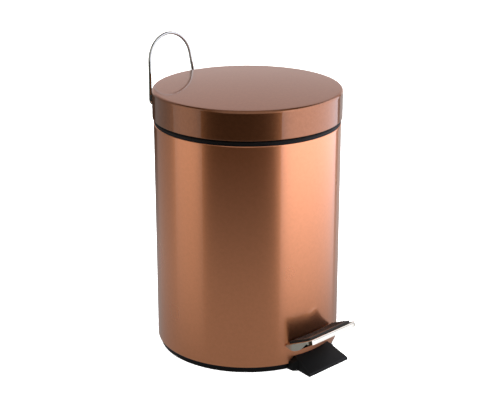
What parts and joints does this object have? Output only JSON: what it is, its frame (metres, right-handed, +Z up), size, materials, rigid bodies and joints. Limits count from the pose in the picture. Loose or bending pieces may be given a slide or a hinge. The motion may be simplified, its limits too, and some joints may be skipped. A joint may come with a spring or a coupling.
{
  "type": "pedal trash can",
  "caption": "Round pedal bin with a hinged metal lid, a foot pedal and lift rod that open it, a lift-out inner bucket and a swinging carry handle.",
  "frame": {"origin": "middle of the base, on the floor that the bin stands on", "axes": "+Z up, -Y towards the pedal, +Y towards the hinge and the carry handle, +X to the right of someone facing the back from the pedal side"},
  "size_m": [0.1701, 0.2147, 0.2751],
  "materials": {
    "copper_lacquer": "satin metallic copper lacquer under a clear coat",
    "chrome": "bright chrome plate",
    "black_plastic": "fine-textured moulded black plastic",
    "black_rubber": "matt rubber with raised dots",
    "zinc_steel": "bright zinc plate"
  },
  "bodies": {
    "bin": {"body_shell": "copper_lacquer", "body_top_ring": "black_plastic", "base_pan": "black_plastic", "front_foot": "black_plastic", "foot_screws": "zinc_steel", "pivot_pin": "zinc_steel", "pivot_clips": "zinc_steel", "rod_guides": "black_plastic", "hinge_housing": "black_plastic", "hinge_backing_plate": "zinc_steel", "housing_screws": "zinc_steel", "hinge_pin": "zinc_steel", "hinge_clip": "zinc_steel", "handle_bushes": "black_plastic", "inner_bucket": "black_plastic", "bucket_bail": "zinc_steel"},
    "lid": {"lid_shell": "copper_lacquer", "lid_arm": "zinc_steel"},
    "pedal": {"pedal_plate": "chrome", "pedal_tread": "black_rubber", "pedal_lever": "zinc_steel", "pedal_rivets": "zinc_steel"},
    "lift_rod": {"lift_rod": "zinc_steel", "rod_shoe": "black_plastic", "rod_tip": "black_plastic"},
    "handle": {"carry_handle": "chrome"}
  },
  "joints": [
    {"name": "lid_hinge", "type": "hinge", "parent": "bin", "child": "lid", "pos_m": [0, 0.09, 0.229], "axis": [-1, 0, 0], "range_deg": [0, 70]},
    {"name": "pedal_pivot", "type": "hinge", "parent": "bin", "child": "pedal", "pos_m": [0, -0.036, 0.011], "axis": [1, 0, 0], "range_deg": [0, 7.55]},
    {"name": "rod_lift", "type": "slide", "parent": "bin", "child": "lift_rod", "axis": [0, 0, 1], "range_m": [0, 0.0154]},
    {"name": "handle_swing", "type": "hinge", "parent": "bin", "child": "handle", "pos_m": [0, 0.098, 0.212], "axis": [-1, 0, 0], "range_deg": [0, 172]}
  ],
  "couplings": [
    {"joint": "pedal_pivot", "follows": "lid_hinge", "ratio": 0.10786},
    {"joint": "rod_lift", "follows": "lid_hinge", "m_per_rad": 0.012605}
  ]
}
